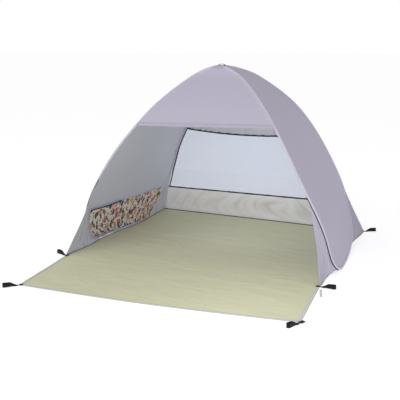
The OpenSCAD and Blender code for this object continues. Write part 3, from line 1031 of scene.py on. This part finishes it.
class SHADE_OT_peg_loops(bpy.types.Operator):
    """Black webbing loops on edge, with flat stitched tails"""
    bl_idname = "beach_shade.peg_loops"
    bl_label = "Peg loops"

    def execute(self, context):
        s = context.scene.beach_shade
        look = finishes()
        tail, length, half_w, neck = 0.024, 0.072, 0.0120, 0.0030
        inner, reach = 0.012, 0.012 + length - half_w
        slope = math.hypot(reach, half_w - neck)
        around = 2 * slope + math.pi * half_w

        def drop(k):
            """Plan of the loop: narrow at the tail, round at its outer end."""
            d = (k % 1.0) * around
            if d < slope:
                return mix(Vector((0, -neck, 0)), Vector((reach, -half_w, 0)), d / slope)
            d -= slope
            if d < math.pi * half_w:
                w = d / half_w - math.pi / 2
                return Vector((reach + half_w * math.cos(w), half_w * math.sin(w), 0))
            k = (d - math.pi * half_w) / slope
            return mix(Vector((reach, half_w, 0)), Vector((0, neck, 0)), k)

        for name, (corner, angle, start) in LOOPS.items():
            turn = Matrix.Rotation(math.radians(angle), 4, "Z")
            move = Matrix.Translation((corner.x, corner.y, 0)) @ turn

            def band(a, b):
                p = drop(a)
                lean = 1 + 0.12 * (b - 0.5)
                tall = mix(0.007, s.web_width - 0.001, smooth(p.x, 0, 0.042))
                return Vector((start + tail - inner + p.x, p.y * lean, 0.0008 + b * tall))

            bm = shaped_grid((64, 6), band, (around, s.web_width), wrap=True)
            face_away(bm, Vector((start + tail + length / 2, 0, 0.012)))
            bmesh.ops.transform(bm, matrix=move, verts=bm.verts[:])
            ring = finish_mesh(bm, f"peg_loop_{name}", [look["webbing"]])
            thicken(ring, "webbing_thickness", 0.0022)
            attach(ring, f"peg_{name}")
            stand_for(ring, "webbing", f"loop_{name}")

            def strap(x0, x1, z, narrow):
                """Flat doubled webbing from x0 to x1 with rounded edges; it may start narrower."""
                def place(a, b):
                    w = lap(b)
                    across_web = abs(math.cos(w)) ** 0.35 * (1 if math.cos(w) > 0 else -1)
                    up = abs(math.sin(w)) ** 0.35 * (1 if math.sin(w) > 0 else -1)
                    half_w = s.web_width / 2 * mix(narrow, 1, a)
                    return Vector((mix(x0, x1, a), half_w * across_web, z + 0.0021 * up))
                return place

            half = "left_half" if name.endswith("left") else "right_half"
            for part, x0, x1, z, narrow, body in (
                    ("tail", start + 0.0005, start + tail + 0.002, 0.0026, 0.30, f"peg_{name}"),
                    ("patch", -0.024, start - 0.0035, 0.0042, 0.9, half)):
                bm = shaped_grid((10, 24), strap(x0, x1, z, narrow), (x1 - x0, 0.06), wrap=True)
                bmesh.ops.holes_fill(bm, edges=[e for e in bm.edges if e.is_boundary], sides=0)
                bmesh.ops.recalc_face_normals(bm, faces=bm.faces[:])
                bmesh.ops.transform(bm, matrix=move, verts=bm.verts[:])
                flat = finish_mesh(bm, f"peg_{part}_{name}", [look["webbing"]])
                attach(flat, body)
        return {"FINISHED"}


class SHADE_OT_small_parts(bpy.types.Operator):
    """Band at the crown and ribbon at the right front corner"""
    bl_idname = "beach_shade.small_parts"
    bl_label = "Crown band and ribbon"

    def execute(self, context):
        look = finishes()
        c = hoop(0)
        w, h = c.x + SLEEVE_R + 0.0055, SLEEVE_R + 0.0060

        def band(a, b):
            k = lap(a)
            x = (w - h) * max(-1, min(1, 2.2 * math.cos(k))) + h * math.cos(k)
            return Vector((x, c.y + mix(-0.0065, 0.0065, b), c.z + h * math.sin(k)))

        bm = shaped_grid((48, 4), band, (0.12, 0.017), wrap=True)
        face_away(bm, Vector((0, c.y, c.z)))
        tie = finish_mesh(bm, "crown_band", [look["tape"]])
        thicken(tie, "band_thickness", 0.0016)
        spans(tie, share=[max(0, min(1, (v.co.x + 0.02) / 0.04)) for v in tie.data.vertices])
        stand_for(tie, "dark_tape", "crown_tie")

        start = Vector((0.897, 0.02, 0))
        way = Vector((math.cos(math.radians(-76)), math.sin(math.radians(-76)), 0))
        wide = Vector((-way.y, way.x, 0))

        def ribbon(a, b):
            ripple = 0.003 + 0.0028 * math.sin(a * 9) * bump(a)
            return start + way * 0.13 * a + wide * 0.0155 * (b - 0.5) + Vector((0, 0, ripple))

        strip = cloth("corner_ribbon_strip", (40, 4), ribbon, (0.13, 0.016), [look["ribbon"]],
                      away=BELOW, thickness=0.0006)
        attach(strip, "right_half")
        stand_for(strip, "grey_tape", "corner_ribbon")
        return {"FINISHED"}


class SHADE_OT_frame_finish(bpy.types.Operator):
    """Materials of the rods and ferrules that the frame brings"""
    bl_idname = "beach_shade.frame_finish"
    bl_label = "Rod and ferrule finish"

    def execute(self, context):
        look = finishes()
        for side in ("left", "right"):
            for part in ("rod", "ferrule"):
                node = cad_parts[f"{side}_{part}"]
                node.data.materials.clear()
                node.data.materials.append(look[part])
        return {"FINISHED"}


class SHADE_OT_stage(bpy.types.Operator):
    """Pale floor, soft studio light and the camera"""
    bl_idname = "beach_shade.stage"
    bl_label = "Stage"

    def execute(self, context):
        scene = context.scene
        scene.view_settings.view_transform = "Standard"
        bm = bmesh.new()
        bmesh.ops.create_grid(bm, x_segments=4, y_segments=4, size=400)
        for v in bm.verts:
            v.co.z = -0.001
        floor = finish_mesh(bm, "studio_floor", [], rounded=False)
        mat, bsdf = new_material("studio_white")
        if bsdf is not None:
            feed(mat.node_tree, bsdf, {"Base Color": (0.9, 0.9, 0.9, 1), "Roughness": 1,
                                       "Emission Color": (1, 1, 1, 1),
                                       "Emission Strength": 0.44, "Specular IOR Level": 0})
        floor.data.materials.append(mat)
        world = bpy.data.worlds.new("studio_world")
        world.use_nodes = True
        sky = world.node_tree
        sky.nodes["Background"].inputs[0].default_value = (1, 1, 1, 1)
        ray = sky.nodes.new("ShaderNodeLightPath")
        level = math_node(sky, "MULTIPLY_ADD", ray.outputs["Is Camera Ray"], 0.40, 0.60)
        sky.links.new(level, sky.nodes["Background"].inputs[1])
        scene.world = world
        for name, place, aim, size, power in (
                ("key_light", (-3.6, -4.6, 4.0), (0, 0.5, 0.4), 3.5, 52),
                ("fill_light", (0.9, -3.8, 2.4), (0.1, 0.2, 0.6), 1.5, 27),
                ("mat_light", (0.75, -1.1, 1.3), (0.62, -0.42, 0), 0.5, 0.9),
                ("cabin_light", (0.12, 0.24, 0.62), (0, 1.5, 0.36), 0.5, 0.9)):
            data = bpy.data.lights.new(name, "AREA")
            data.size = size
            data.energy = power
            data.spread = math.radians({"mat_light": 75, "cabin_light": 105}.get(name, 180))
            lamp = bpy.data.objects.new(name, data)
            lamp.location = place
            lamp.rotation_euler = (Vector(aim) - Vector(place)).to_track_quat("-Z", "Y").to_euler()
            lamp.visible_camera = False
            scene.collection.objects.link(lamp)
        cam_data = bpy.data.cameras.new("camera")
        cam_data.lens = 60.96
        cam_data.sensor_width = 36
        cam_data.dof.use_dof = False
        cam = bpy.data.objects.new("camera", cam_data)
        yaw, pitch, roll = 0.40629, 0.21607, 0.0014
        level, tilt = math.cos(pitch), math.sin(pitch)
        back = Vector((math.sin(yaw) * level, -math.cos(yaw) * level, tilt))
        right = Vector((math.cos(yaw), math.sin(yaw), 0))
        up = back.cross(right)
        r2 = right * math.cos(roll) + up * math.sin(roll)
        u2 = up * math.cos(roll) - right * math.sin(roll)
        rot = Matrix((r2, u2, back)).transposed().to_4x4()
        cam.matrix_world = Matrix.Translation((1.75512, -3.81174, 1.39986)) @ rot
        scene.collection.objects.link(cam)
        scene.camera = cam
        return {"FINISHED"}


class SHADE_PT_panel(bpy.types.Panel):
    bl_label = "Beach Shade"
    bl_idname = "SHADE_PT_panel"
    bl_space_type = "VIEW_3D"
    bl_region_type = "UI"
    bl_category = "Beach Shade"

    def draw(self, context):
        layout = self.layout
        settings = context.scene.beach_shade
        for name in ShadeSettings.__annotations__:
            layout.prop(settings, name)
        for op in OPERATORS:
            layout.operator(op.bl_idname)


OPERATORS = (
    SHADE_OT_stage, SHADE_OT_rod_sleeves, SHADE_OT_side_panels, SHADE_OT_front_panel,
    SHADE_OT_rear_wall, SHADE_OT_gussets, SHADE_OT_floor, SHADE_OT_side_pocket,
    SHADE_OT_peg_loops, SHADE_OT_small_parts, SHADE_OT_frame_finish,
)
CLASSES = (ShadeSettings, *OPERATORS, SHADE_PT_panel)


def register():
    for c in CLASSES:
        bpy.utils.register_class(c)
    bpy.types.Scene.beach_shade = bpy.props.PointerProperty(type=ShadeSettings)


def unregister():
    del bpy.types.Scene.beach_shade
    for c in reversed(CLASSES):
        bpy.utils.unregister_class(c)


def main():
    register()
    for op in OPERATORS:
        group, name = op.bl_idname.split(".")
        getattr(getattr(bpy.ops, group), name)()


if __name__ == "__main__":
    main()
